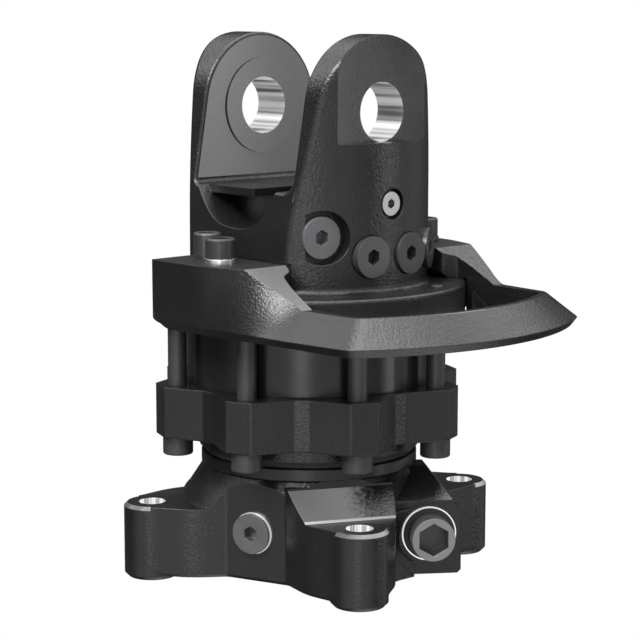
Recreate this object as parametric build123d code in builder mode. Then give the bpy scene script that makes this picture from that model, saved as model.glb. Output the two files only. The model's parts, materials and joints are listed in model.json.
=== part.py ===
from build123d import *
import os
from math import cos, sin, radians, atan2, hypot

# Hydraulic rotator: a fork head with a turned stator below it, and a lower
# bracket with four bolting lugs that turns endlessly under it.
# Frame: +Z up, X along the link pin, origin on the axis of rotation in the
# plane of the four lug faces that sit on the tool below.

os.makedirs("parts", exist_ok=True)

# ---------------------------------------------------------------- dimensions
# fork
PIN_Z = 346.5            # height of the link pin axis
BORE_R = 21.2            # bore of the ear bushes
BUSH_R = 25.0            # outside of the ear bushes
EAR_R = 55.0             # round top of the ears
NECK_R = 89.0            # turned envelope of neck and ears
GAP_X = 54.0             # cast inner faces of the ears, either side of centre
PAD_X = 51.4             # machined pad faces
PAD_R = 36.0
FLAT_X_FRONT = 77.8      # milled flat outside the front ear
FLAT_X_BACK = 82.0       # milled flat outside the back ear
FLOOR_Z = 290.0          # floor of the fork
FLANGE_R = 117.3
FLANGE_Z0 = 191.3
FLANGE_Z1 = 218.5

# stator pack
STATOR_R = 91.9
STATOR_Z0 = 144.5
CAM_RX = 63.0            # long half axis of the vane track
CAM_RY = 56.5            # short half axis of the vane track
GABLE_Z0 = 106.5
GABLE_RING_R = 83.0
GABLE_RING_Z0 = 95.2
LOBE_R = 117.6
VALLEY_R = 99.2
SCREW_PCR = 103.2        # circle of the eight long screws
SCREW_R = 7.0
HEAD_R = 11.2

# rotor
DRUM_R = 54.6
JOURNAL_LOW_R = 42.0
JOURNAL_UP_R = 40.0
SPIGOT_R = 30.0
SPIGOT_TOP = 255.0
FLANGE_RING_R = 81.5
FLANGE_RING_Z0 = 81.4
FLANGE_RING_Z1 = 90.4
VANES = 8

# lower bracket
LUG_PCR = 122.33         # bolt circle radius, a square of 173 mm
LUG_R = 21.0
LUG_HOLE_R = 9.8
LUG_H = 56.0
BRACKET_TURN = -25.04    # angle of the first lug at rest
WEB_Z0 = 4.0

# hose guard
GUARD_TOP = 240.8
GUARD_Z0 = 191.6
BAND_Z = 215.7
LIP_Z = 197.5
ARM_TOP = 245.0          # height at which the outer slope of the arms is set out
HOOP_X = 118.0           # chord where the arms end and the front hoop begins
ARM_STATIONS = 15        # sections of each arm, evenly spaced


def polar(r, deg, z=0.0):
    return (r * cos(radians(deg)), r * sin(radians(deg)), z)


def turned(deg, z=0.0):
    """Horizontal plane whose x direction points at an angle about the axis."""
    return Plane(origin=(0, 0, z), x_dir=(cos(radians(deg)), sin(radians(deg)), 0), z_dir=(0, 0, 1))


def facing(centre, deg, tilt=0.0):
    """Plane at a point, its normal pointing outward at an angle about the axis."""
    a, t = radians(deg), radians(tilt)
    return Plane(origin=centre, x_dir=(-sin(a), cos(a), 0), z_dir=(cos(a) * cos(t), sin(a) * cos(t), sin(t)))


def radial(deg):
    """Upright plane through the axis: x outward, y up."""
    a = radians(deg)
    return Plane(origin=(0, 0, 0), x_dir=(cos(a), sin(a), 0), z_dir=(sin(a), -cos(a), 0))


# ports on the neck: (face centre, direction the plug faces)
SIDE_PORTS = [(polar(88.0, -36.0, 259.2), -13.0)]
FRONT_PORTS = [(polar(92.0, -11.8, 244.4), -5.0), (polar(92.0, 11.8, 244.4), 5.0), (polar(92.0, 35.4, 244.4), 33.5)]
VALVE_PORT = ((87.0, 1.0, 281.2), 0.0)
GUARD_SCREWS_FRONT = [(19.4, -102.3), (19.4, 102.3)]
GUARD_SCREWS_BACK = [(-14.0, -86.8), (-14.0, 86.8)]
FLUSH_PLUG = (92.9, 42.4)

# ---------------------------------------------------------------- top casting
EAR_SIDE = [(75.0, 212.0), (73.4, 224.0), (71.3, 240.0), (70.2, 256.0), (68.9, 270.0), (66.87, 284.0)]
EAR_TIP = (54.16, 356.05)
SCOOP = [(-49.5, 290.0), (-38.2, 276.0), (-24.8, 265.5), (-2.8, 261.4), (14.6, 263.8), (25.1, 270.9), (31.0, 278.6),
         (38.5, 294.0)]

with BuildPart() as top_casting:
    # fork and neck seen along the pin
    with BuildSketch(Plane.YZ.offset(-95)):
        with BuildLine():
            right = Spline(*EAR_SIDE, tangents=[(-0.12, 1), (-0.1763, 1)])
            Line(EAR_SIDE[-1], EAR_TIP)
            ThreePointArc(EAR_TIP, (0, PIN_Z + EAR_R), (-EAR_TIP[0], EAR_TIP[1]))
            Line((-EAR_TIP[0], EAR_TIP[1]), (-EAR_SIDE[-1][0], EAR_SIDE[-1][1]))
            left = Spline(*[(-y, z) for y, z in reversed(EAR_SIDE)], tangents=[(-0.1763, -1), (-0.12, -1)])
            Line(left @ 1, right @ 0)
        make_face()
    extrude(amount=190)
    # turned outside of the neck and the ears
    with BuildSketch(Plane.XY.offset(205)):
        Circle(NECK_R)
    extrude(amount=200, mode=Mode.INTERSECT)
    # soft edges between the flat sides and the turned outside
    rim = [e for e in top_casting.edges() if e.center().Z > 214 and abs(e.center().X) > 40]
    fillet(rim, radius=6.0)
    # flange
    with BuildSketch(Plane.XY.offset(FLANGE_Z0)):
        Circle(FLANGE_R)
    extrude(amount=FLANGE_Z1 - FLANGE_Z0)
    flange_rim = [e for e in top_casting.edges().filter_by(GeomType.CIRCLE)
                  if abs(e.radius - FLANGE_R) < 0.01 and e.center().Z > FLANGE_Z1 - 1]
    fillet(flange_rim, radius=2.6)
    foot = [e for e in top_casting.edges() if abs(e.center().Z - FLANGE_Z1) < 0.01
            and hypot(e.position_at(0.5).X, e.position_at(0.5).Y) < 100]
    fillet(foot, radius=4.5)
    # gap of the fork, with cast corners at the floor
    with BuildSketch(Plane.XZ.offset(-120)):
        with BuildLine():
            Polyline((-GAP_X, 420), (-GAP_X, FLOOR_Z + 5))
            RadiusArc((-GAP_X, FLOOR_Z + 5), (-GAP_X + 5, FLOOR_Z), -5)
            Line((-GAP_X + 5, FLOOR_Z), (GAP_X - 10, FLOOR_Z))
            RadiusArc((GAP_X - 10, FLOOR_Z), (GAP_X, FLOOR_Z + 10), -10)
            Polyline((GAP_X, FLOOR_Z + 10), (GAP_X, 420), (-GAP_X, 420))
        make_face()
    extrude(amount=240, mode=Mode.SUBTRACT)
    gap_rim = [e for e in top_casting.edges(Select.LAST)
               if not (e.geom_type == GeomType.LINE and abs(e.tangent_at(0.5).Y) > 0.99)]
    fillet(gap_rim, radius=2.6)
    # machined pads round the pin bore
    for side in (-1, 1):
        with BuildSketch(Plane.YZ.offset(side * PAD_X)):
            with Locations((0, PIN_Z)):
                Circle(PAD_R)
        extrude(amount=side * 8.0)
    # milled flats outside the ears
    with BuildSketch(Plane.YZ.offset(FLAT_X_FRONT)):
        with Locations((0, PIN_Z - BORE_R + 50)):
            Rectangle(130, 100)
    extrude(amount=30, mode=Mode.SUBTRACT)
    with BuildSketch(Plane.YZ.offset(-FLAT_X_BACK)):
        with Locations((0, PIN_Z - BORE_R + 50)):
            Rectangle(130, 100)
    extrude(amount=-30, mode=Mode.SUBTRACT)
    # seats of the ear bushes
    with BuildSketch(Plane.YZ.offset(-FLAT_X_BACK)):
        with Locations((0, PIN_Z)):
            Circle(BUSH_R)
    extrude(amount=FLAT_X_BACK + FLAT_X_FRONT, mode=Mode.SUBTRACT)
    # scooped hose pockets in both flat sides, open to the floor of the fork and undercut below it
    for side in (-1, 1):
        with BuildSketch(Plane.XZ.offset(-side * 57.0)):
            with BuildLine():
                Spline(*SCOOP)
                Polyline((38.5, 294.0), (38.5, 306.0), (-49.5, 306.0), (-49.5, 290.0))
            make_face()
        extrude(amount=-side * 40.0, mode=Mode.SUBTRACT)
    for side in (-1, 1):
        with BuildSketch(Plane.XZ.offset(-side * 57.0)):
            with BuildLine():
                Spline(*SCOOP)
                Polyline((38.5, 294.0), (38.5, 306.0), (-49.5, 306.0), (-49.5, 290.0))
            make_face()
            with Locations((0, 270.0)):
                Rectangle(120.0, 28.0, mode=Mode.INTERSECT)
        extrude(amount=side * 21.0, mode=Mode.SUBTRACT)
    for side in (-1, 1):
        with BuildSketch(Plane.XZ.offset(-side * 14.0)):
            with BuildLine():
                Spline(*SCOOP)
                Polyline((38.5, 294.0), (38.5, 306.0), (-49.5, 306.0), (-49.5, 290.0))
            make_face()
            with Locations((23.5, 281.0)):
                Rectangle(40.0, 52.0, mode=Mode.INTERSECT)
        extrude(amount=-side * 46.0, mode=Mode.SUBTRACT)
    # swivel chamber and the seats of the upper bearing and its seal
    with BuildSketch(Plane.XY.offset(FLANGE_Z0 - 1)):
        Circle(SPIGOT_R + 0.05)
    extrude(amount=SPIGOT_TOP + 1.5 - FLANGE_Z0 + 1, mode=Mode.SUBTRACT)
    with BuildSketch(Plane.XY.offset(FLANGE_Z0 - 1)):
        Circle(46.0)
    extrude(amount=26.7, mode=Mode.SUBTRACT)
    # tapped holes for the long screws, the guard screws and the dowels
    with BuildSketch(Plane.XY.offset(FLANGE_Z0 - 1)):
        with PolarLocations(SCREW_PCR, 8, start_angle=22.5):
            Circle(SCREW_R)
    extrude(amount=20.0, mode=Mode.SUBTRACT)
    with BuildSketch(Plane.XY.offset(FLANGE_Z0 - 1)):
        with PolarLocations(75.0, 2, start_angle=0):
            Circle(5.0)
    extrude(amount=11.0, mode=Mode.SUBTRACT)
    with BuildSketch(Plane.XY.offset(FLANGE_Z1 + 1)):
        with Locations(*GUARD_SCREWS_FRONT, *GUARD_SCREWS_BACK):
            Circle(7.0)
    extrude(amount=-19.0, mode=Mode.SUBTRACT)
    with BuildSketch(Plane.XY.offset(FLANGE_Z1 + 1)):
        with Locations(FLUSH_PLUG):
            Circle(4.5)
    extrude(amount=-11.0, mode=Mode.SUBTRACT)
    # port seats and bores
    for centre, direction in SIDE_PORTS:
        with BuildSketch(facing(centre, direction).offset(-4.5)):
            Circle(19.4)
        extrude(amount=30, mode=Mode.SUBTRACT)
        with BuildSketch(facing(centre, direction)):
            Circle(9.0)
        extrude(amount=-26, mode=Mode.SUBTRACT)
    for centre, direction in FRONT_PORTS:
        with BuildSketch(facing(centre, direction).offset(-6.5)):
            Circle(15.4)
        extrude(amount=20, mode=Mode.SUBTRACT)
        with BuildSketch(facing(centre, direction)):
            Circle(9.0)
        extrude(amount=-26, mode=Mode.SUBTRACT)
        with BuildSketch(facing(centre, direction)):
            Circle(4.5)
        extrude(amount=-75, mode=Mode.SUBTRACT)
    with BuildSketch(facing(*VALVE_PORT).offset(-4.0)):
        Circle(11.2)
    extrude(amount=20, mode=Mode.SUBTRACT)
    with BuildSketch(facing(*VALVE_PORT)):
        Circle(6.0)
    extrude(amount=-20, mode=Mode.SUBTRACT)
top_casting.part.label = "top_casting"
export_step(top_casting.part, "parts/top_casting.step")

with BuildPart() as ear_bushes:
    with BuildSketch(Plane.YZ.offset(PAD_X)):
        with Locations((0, PIN_Z)):
            Circle(BUSH_R)
            Circle(BORE_R, mode=Mode.SUBTRACT)
    extrude(amount=FLAT_X_FRONT - PAD_X)
    with BuildSketch(Plane.YZ.offset(-PAD_X)):
        with Locations((0, PIN_Z)):
            Circle(BUSH_R)
            Circle(BORE_R, mode=Mode.SUBTRACT)
    extrude(amount=-(FLAT_X_BACK - PAD_X))
ear_bushes.part.label = "ear_bushes"
export_step(ear_bushes.part, "parts/ear_bushes.step")

# ---------------------------------------------------------------- port plugs
with BuildPart() as port_plugs:
    for (centre, direction), seat in [(p, 4.5) for p in SIDE_PORTS] + [(p, 6.5) for p in FRONT_PORTS]:
        # flat head
        with BuildSketch(facing(centre, direction).offset(-seat + 1.5)):
            Circle(15.0)
        extrude(amount=seat - 1.5)
        # shank
        with BuildSketch(facing(centre, direction).offset(-seat + 1.5)):
            Circle(8.9)
        extrude(amount=-15)
        # hexagon socket
        with BuildSketch(facing(centre, direction)):
            RegularPolygon(5.0, 6, major_radius=False, rotation=30)
        extrude(amount=-9, mode=Mode.SUBTRACT)
port_plugs.part.label = "port_plugs"
export_step(port_plugs.part, "parts/port_plugs.step")

with BuildPart() as port_plug_seals:
    for (centre, direction), seat in [(p, 4.5) for p in SIDE_PORTS] + [(p, 6.5) for p in FRONT_PORTS]:
        with BuildSketch(facing(centre, direction).offset(-seat)):
            Circle(14.6)
            Circle(9.1, mode=Mode.SUBTRACT)
        extrude(amount=1.5)
port_plug_seals.part.label = "port_plug_seals"
export_step(port_plug_seals.part, "parts/port_plug_seals.step")

with BuildPart() as valve_plug:
    with BuildSketch(facing(*VALVE_PORT).offset(-2.8)):
        Circle(8.7)
    extrude(amount=2.8)
    with BuildSketch(facing(*VALVE_PORT).offset(-2.8)):
        Circle(5.95)
    extrude(amount=-12)
    with BuildSketch(facing(*VALVE_PORT)):
        RegularPolygon(3.0, 6, major_radius=False, rotation=30)
    extrude(amount=-7, mode=Mode.SUBTRACT)
valve_plug.part.label = "valve_plug"
export_step(valve_plug.part, "parts/valve_plug.step")

with BuildPart() as valve_plug_seal:
    with BuildSketch(facing(*VALVE_PORT).offset(-4.0)):
        Circle(8.4)
        Circle(6.1, mode=Mode.SUBTRACT)
    extrude(amount=1.2)
valve_plug_seal.part.label = "valve_plug_seal"
export_step(valve_plug_seal.part, "parts/valve_plug_seal.step")

with BuildPart() as flange_plug:
    with BuildSketch(Plane.XY.offset(FLANGE_Z1 - 8)):
        with Locations(FLUSH_PLUG):
            Circle(4.45)
    extrude(amount=8.3)
flange_plug.part.label = "flange_plug"
export_step(flange_plug.part, "parts/flange_plug.step")

# ---------------------------------------------------------------- hose guard
ARM = [
    # x, outer width at ARM_TOP, at the lip, at the bottom
    (-31.0, 124.5, 124.3, 123.3),
    (-10.0, 124.8, 124.5, 123.4),
    (10.0, 124.6, 124.6, 123.2),
    (25.0, 123.2, 124.5, 122.6),
    (40.0, 119.1, 124.3, 121.6),
    (50.0, 115.9, 124.1, 120.6),
    (58.7, 112.4, 123.9, 119.6),
    (66.0, 109.0, 123.6, 118.7),
    (74.0, 103.9, 123.3, 117.8),
    (82.0, 97.3, 122.9, 116.9),
    (90.0, 88.3, 122.5, 116.1),
    (97.0, 77.6, 122.1, 115.5),
    (104.4, 64.3, 121.7, 115.0),
    (111.0, 63.8, 121.2, 114.6),
    (118.0, 63.2, 120.6, 114.2),
]
HOOP = [
    # z, half width at the chord, at x = 150, front radius
    (BAND_Z, 98.6, 96.2, 181.2),
    (LIP_Z, 120.6, 117.2, 202.4),
    (GUARD_Z0, 114.2, 112.8, 198.0),
]
INNER = [(56.0, 75.5), (61.5, 75.9), (64.7, 77.3), (66.6, 79.9), (68.2, 83.7), (70.0, 86.6), (73.1, 88.0),
         (83.5, 90.2), (95.0, 91.1), (104.0, 91.3)]
INNER_R = 176.3


def hoop_wire(x0, y0, y1, r, rc):
    """Outline points: side line from the chord, rounded corner, front arc."""
    k = (y1 - y0) / (150.0 - x0)
    lo, hi = x0, r
    for _ in range(60):
        mid = (lo + hi) / 2
        if hypot(mid, y0 + k * (mid - x0)) < r:
            lo = mid
        else:
            hi = mid
    cx, cy = lo, y0 + k * (lo - x0)
    a = atan2(cy, cx)
    d = hypot(cx - x0, cy - y0)
    ux, uy = (x0 - cx) / d, (y0 - cy) / d
    p = (cx + ux * rc, cy + uy * rc)
    b = a - rc / r
    q = (r * cos(b), r * sin(b))
    # middle of the corner pulled in from the sharp point
    m = (0.25 * p[0] + 0.5 * cx + 0.25 * q[0], 0.25 * p[1] + 0.5 * cy + 0.25 * q[1])
    return (x0, y0), p, m, q, (r, 0.0)


def pchip(pts, x):
    """Monotone cubic through the listed points."""
    n = len(pts)
    h = [pts[i + 1][0] - pts[i][0] for i in range(n - 1)]
    d = [(pts[i + 1][1] - pts[i][1]) / h[i] for i in range(n - 1)]
    m = [d[0]] + [0.0] * (n - 2) + [d[-1]]
    for i in range(1, n - 1):
        if d[i - 1] * d[i] > 0:
            w1, w2 = 2 * h[i] + h[i - 1], h[i] + 2 * h[i - 1]
            m[i] = (w1 + w2) / (w1 / d[i - 1] + w2 / d[i])
    i = max(j for j in range(n - 1) if pts[j][0] <= x + 1e-9)
    t = (x - pts[i][0]) / h[i]
    return (pts[i][1] * (1 + 2 * t) * (1 - t) ** 2 + m[i] * h[i] * t * (1 - t) ** 2
            + pts[i + 1][1] * t * t * (3 - 2 * t) + m[i + 1] * h[i] * t * t * (t - 1))


with BuildPart() as hose_guard:
    # both arms, twisting from an upright wall to the slope of the hoop
    for side in (-1, 1):
        for k in range(ARM_STATIONS + 1):
            x = -31.0 + (HOOP_X + 31.0) * k / ARM_STATIONS
            y_top, y_lip, y_low = (pchip([(row[0], row[j]) for row in ARM], x) for j in (1, 2, 3))
            with BuildSketch(Plane.YZ.offset(x)):
                with BuildLine():
                    Polyline((side * 60.0, ARM_TOP), (side * y_top, ARM_TOP), (side * y_lip, LIP_Z),
                             (side * y_low, GUARD_Z0), (side * 60.0, GUARD_Z0), close=True)
                make_face()
        loft()
    # flat top of the blocks and the ramp down to the hoop
    with BuildSketch(Plane.XZ.offset(-140)):
        with BuildLine():
            Polyline((-40, GUARD_TOP), (58.7, GUARD_TOP), (104.4, BAND_Z), (HOOP_X, BAND_Z), (HOOP_X, 260), (-40, 260),
                     close=True)
        make_face()
    extrude(amount=280, mode=Mode.SUBTRACT)
    # front hoop
    for lower, upper in ((HOOP[1], HOOP[0]), (HOOP[2], HOOP[1])):
        for z, y0, y1, r in (lower, upper):
            s, p, m, q, f = hoop_wire(HOOP_X, y0, y1, r, 9.0)
            with BuildSketch(Plane.XY.offset(z)):
                with BuildLine():
                    Line(s, p)
                    ThreePointArc(p, m, q)
                    ThreePointArc(q, f, (q[0], -q[1]))
                    ThreePointArc((q[0], -q[1]), (m[0], -m[1]), (p[0], -p[1]))
                    Line((p[0], -p[1]), (s[0], -s[1]))
                    Line((s[0], -s[1]), s)
                make_face()
        loft(ruled=True)
    # inside wall
    s, p, m, q, f = hoop_wire(104.0, 91.3, 91.0, INNER_R, 7.0)
    with BuildSketch(Plane.XY.offset(180)):
        with BuildLine():
            Line((-40, 75.5), INNER[0])
            Spline(*INNER, tangents=[(1, 0), (1, 0)])
            Line(INNER[-1], p)
            ThreePointArc(p, m, q)
            ThreePointArc(q, f, (q[0], -q[1]))
            ThreePointArc((q[0], -q[1]), (m[0], -m[1]), (p[0], -p[1]))
            Line((p[0], -p[1]), (INNER[-1][0], -INNER[-1][1]))
            Spline(*[(x, -y) for x, y in reversed(INNER)], tangents=[(-1, 0), (-1, 0)])
            Line((INNER[0][0], -INNER[0][1]), (-40, -75.5))
            Line((-40, -75.5), (-40, 75.5))
        make_face()
    extrude(amount=80, mode=Mode.SUBTRACT)
    # the hoop is a sloped plate, hollow from below
    for z, y0, y1, r in ((209.0, 90.8, 90.6, 175.7), (191.5, 110.6, 109.8, 194.6)):
        s, p, m, q, f = hoop_wire(84.0, y0, y1, r, 9.0)
        with BuildSketch(Plane.XY.offset(z)):
            with BuildLine():
                Line(s, p)
                ThreePointArc(p, m, q)
                ThreePointArc(q, f, (q[0], -q[1]))
                ThreePointArc((q[0], -q[1]), (m[0], -m[1]), (p[0], -p[1]))
                Line((p[0], -p[1]), (s[0], -s[1]))
                Line((s[0], -s[1]), s)
            make_face()
    loft(ruled=True, mode=Mode.SUBTRACT)
    # room between the skirt and the flange
    with BuildSketch(Plane.XY.offset(180)):
        with BuildLine():
            Polyline((0, -118), (40, -117), (60, -113), (78, -107.5), (78, 107.5), (60, 113), (40, 117), (0, 118),
                     close=True)
        make_face()
    extrude(amount=FLANGE_Z1 - 180, mode=Mode.SUBTRACT)
    # rounded lower rear corner
    with BuildSketch(Plane.XZ.offset(-130)):
        with BuildLine():
            Line((-32, GUARD_Z0 - 1), (-32, 211))
            Line((-32, 211), (-31, 211))
            RadiusArc((-31, 211), (-14, GUARD_Z0), -19.5)
            Polyline((-14, GUARD_Z0), (-14, GUARD_Z0 - 1), (-32, GUARD_Z0 - 1))
        make_face()
    extrude(amount=260, mode=Mode.SUBTRACT)
    # pocket that fits over the flange
    with BuildSketch(Plane.XY.offset(GUARD_Z0 - 5)):
        Circle(FLANGE_R + 0.4)
    extrude(amount=FLANGE_Z1 - GUARD_Z0 + 5, mode=Mode.SUBTRACT)
    # clearance over the fillet of the neck
    for side in (-1, 1):
        with BuildSketch(Plane.YZ.offset(-40)):
            with BuildLine():
                Polyline((side * 70.0, 218.0), (side * 81.0, 218.0), (side * 74.5, 225.0), (side * 70.0, 225.0), close=True)
            make_face()
        extrude(amount=110.0, mode=Mode.SUBTRACT)
    # screw holes
    with BuildSketch(Plane.XY.offset(210)):
        with Locations(*GUARD_SCREWS_FRONT, *GUARD_SCREWS_BACK):
            Circle(7.5)
    extrude(amount=40, mode=Mode.SUBTRACT)
    # eased edges of the hoop
    eased = []
    for e in hose_guard.edges():
        m = e.position_at(0.5)
        if abs(m.Z - BAND_Z) < 0.1 and e.length > 15 and (abs(m.X - 181.2) < 1 or abs(m.Y) > 95):
            eased.append(e)
    fillet(eased, radius=1.8)
hose_guard.part.label = "hose_guard"
export_step(hose_guard.part, "parts/hose_guard.step")

with BuildPart() as guard_washers:
    with BuildSketch(Plane.XY.offset(GUARD_TOP)):
        with Locations(*GUARD_SCREWS_FRONT):
            Circle(11.5)
            Circle(7.4, mode=Mode.SUBTRACT)
    extrude(amount=3.6)
guard_washers.part.label = "guard_washers"
export_step(guard_washers.part, "parts/guard_washers.step")

with BuildPart() as guard_spacers:
    with BuildSketch(Plane.XY.offset(GUARD_TOP)):
        with Locations(*GUARD_SCREWS_BACK):
            Circle(10.3)
            Circle(7.4, mode=Mode.SUBTRACT)
    extrude(amount=3.6)
guard_spacers.part.label = "guard_spacers"
export_step(guard_spacers.part, "parts/guard_spacers.step")

with BuildPart() as guard_screws:
    for spots, head_r in ((GUARD_SCREWS_FRONT, 10.75), (GUARD_SCREWS_BACK, 10.2)):
        for x, y in spots:
            with BuildSketch(Plane.XY.offset(GUARD_TOP + 3.6)):
                with Locations((x, y)):
                    Circle(head_r)
            extrude(amount=13.2)
            with BuildSketch(Plane.XY.offset(GUARD_TOP + 16.8)):
                with Locations((x, y)):
                    Circle(head_r)
            extrude(amount=1.2, taper=40)
            with BuildSketch(Plane.XY.offset(GUARD_TOP + 3.6)):
                with Locations((x, y)):
                    Circle(6.95)
            extrude(amount=-(GUARD_TOP + 3.6 - FLANGE_Z1 + 15))
            with BuildSketch(Plane.XY.offset(GUARD_TOP + 18.0)):
                with Locations((x, y)):
                    RegularPolygon(6.0, 6, major_radius=False)
            extrude(amount=-7.5, mode=Mode.SUBTRACT)
guard_screws.part.label = "guard_screws"
export_step(guard_screws.part, "parts/guard_screws.step")

# ---------------------------------------------------------------- stator pack
with BuildPart() as stator_ring:
    with BuildSketch(Plane.XY.offset(STATOR_Z0)):
        Circle(STATOR_R)
        Ellipse(CAM_RX, CAM_RY, mode=Mode.SUBTRACT)
        with PolarLocations(75.0, 2, start_angle=0):
            Circle(5.0, mode=Mode.SUBTRACT)
    extrude(amount=FLANGE_Z0 - STATOR_Z0)
stator_ring.part.label = "stator_ring"
export_step(stator_ring.part, "parts/stator_ring.step")

with BuildPart() as lower_gable:
    with BuildSketch(Plane.XY.offset(GABLE_Z0)):
        with BuildLine():
            lobes = []
            for k in range(8):
                mid = 22.5 + 45 * k
                lobes += [polar(VALLEY_R, mid - 22.5 + 3.2)[:2], polar(LOBE_R, mid - 5)[:2],
                          polar(LOBE_R, mid + 5)[:2], polar(VALLEY_R, mid + 22.5 - 3.2)[:2]]
            Polyline(*lobes, close=True)
        make_face()
    extrude(amount=STATOR_Z0 - GABLE_Z0)
    fillet(lower_gable.edges().filter_by(Axis.Z), radius=2.6)
    fillet(lower_gable.faces().sort_by(Axis.Z)[0].edges(), radius=1.2)
    with BuildSketch(Plane.XY.offset(GABLE_RING_Z0)):
        Circle(GABLE_RING_R)
    extrude(amount=GABLE_Z0 - GABLE_RING_Z0)
    # bore for the lower bearing and its shaft seal
    with BuildSketch(Plane.XY.offset(GABLE_RING_Z0 - 1)):
        Circle(47.0)
    extrude(amount=STATOR_Z0 - GABLE_RING_Z0 + 2, mode=Mode.SUBTRACT)
    with BuildSketch(Plane.XY.offset(GABLE_Z0 - 20)):
        with PolarLocations(SCREW_PCR, 8, start_angle=22.5):
            Circle(7.3)
    extrude(amount=70, mode=Mode.SUBTRACT)
    with BuildSketch(Plane.XY.offset(STATOR_Z0 + 1)):
        with PolarLocations(75.0, 2, start_angle=0):
            Circle(5.0)
    extrude(amount=-11, mode=Mode.SUBTRACT)
lower_gable.part.label = "lower_gable"
export_step(lower_gable.part, "parts/lower_gable.step")

with BuildPart() as gable_screws:
    with BuildSketch(Plane.XY.offset(92.2)):
        with PolarLocations(SCREW_PCR, 8, start_angle=22.5):
            Circle(HEAD_R)
    extrude(amount=GABLE_Z0 - 92.2)
    fillet([e for e in gable_screws.edges().filter_by(GeomType.CIRCLE) if e.center().Z < 94], radius=1.6)
    with BuildSketch(Plane.XY.offset(GABLE_Z0)):
        with PolarLocations(SCREW_PCR, 8, start_angle=22.5):
            Circle(SCREW_R - 0.05)
    extrude(amount=FLANGE_Z0 + 18 - GABLE_Z0)
    with BuildSketch(Plane.XY.offset(92.2)):
        with PolarLocations(SCREW_PCR, 8, start_angle=22.5):
            RegularPolygon(6.0, 6, major_radius=False)
    extrude(amount=7.5, mode=Mode.SUBTRACT)
gable_screws.part.label = "gable_screws"
export_step(gable_screws.part, "parts/gable_screws.step")

with BuildPart() as dowel_pins:
    for z0 in (STATOR_Z0 - 9.5, FLANGE_Z0 - 9.5):
        with BuildSketch(Plane.XY.offset(z0)):
            with PolarLocations(75.0, 2, start_angle=0):
                Circle(4.98)
        extrude(amount=19.0)
dowel_pins.part.label = "dowel_pins"
export_step(dowel_pins.part, "parts/dowel_pins.step")

with BuildPart() as lower_bearing:
    with BuildSketch(Plane.XY.offset(112.0)):
        Circle(47.0)
        Circle(JOURNAL_LOW_R + 0.05, mode=Mode.SUBTRACT)
    extrude(amount=STATOR_Z0 - 112.0)
lower_bearing.part.label = "lower_bearing"
export_step(lower_bearing.part, "parts/lower_bearing.step")

with BuildPart() as lower_shaft_seal:
    with BuildSketch(Plane.XY.offset(101.0)):
        Circle(47.0)
        Circle(JOURNAL_LOW_R + 0.05, mode=Mode.SUBTRACT)
    extrude(amount=9.0)
lower_shaft_seal.part.label = "lower_shaft_seal"
export_step(lower_shaft_seal.part, "parts/lower_shaft_seal.step")

with BuildPart() as upper_bearing:
    with BuildSketch(Plane.XY.offset(FLANGE_Z0)):
        Circle(46.0)
        Circle(JOURNAL_UP_R + 0.05, mode=Mode.SUBTRACT)
    extrude(amount=20.0)
upper_bearing.part.label = "upper_bearing"
export_step(upper_bearing.part, "parts/upper_bearing.step")

with BuildPart() as thrust_washer:
    with BuildSketch(Plane.XY.offset(FLANGE_RING_Z1 + 0.35)):
        Circle(72.0)
        Circle(52.0, mode=Mode.SUBTRACT)
    extrude(amount=GABLE_RING_Z0 - FLANGE_RING_Z1 - 0.35)
thrust_washer.part.label = "thrust_washer"
export_step(thrust_washer.part, "parts/thrust_washer.step")

with BuildPart() as wiper_seal:
    with BuildSketch(radial(0)):
        with BuildLine():
            Polyline((73.0, GABLE_RING_Z0), (78.5, GABLE_RING_Z0), (79.5, FLANGE_RING_Z1 + 0.4),
                     (77.0, FLANGE_RING_Z1 + 0.4), (75.6, 93.2), (73.0, 93.2), close=True)
        make_face()
    revolve(axis=Axis.Z)
wiper_seal.part.label = "wiper_seal"
export_step(wiper_seal.part, "parts/wiper_seal.step")

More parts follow.
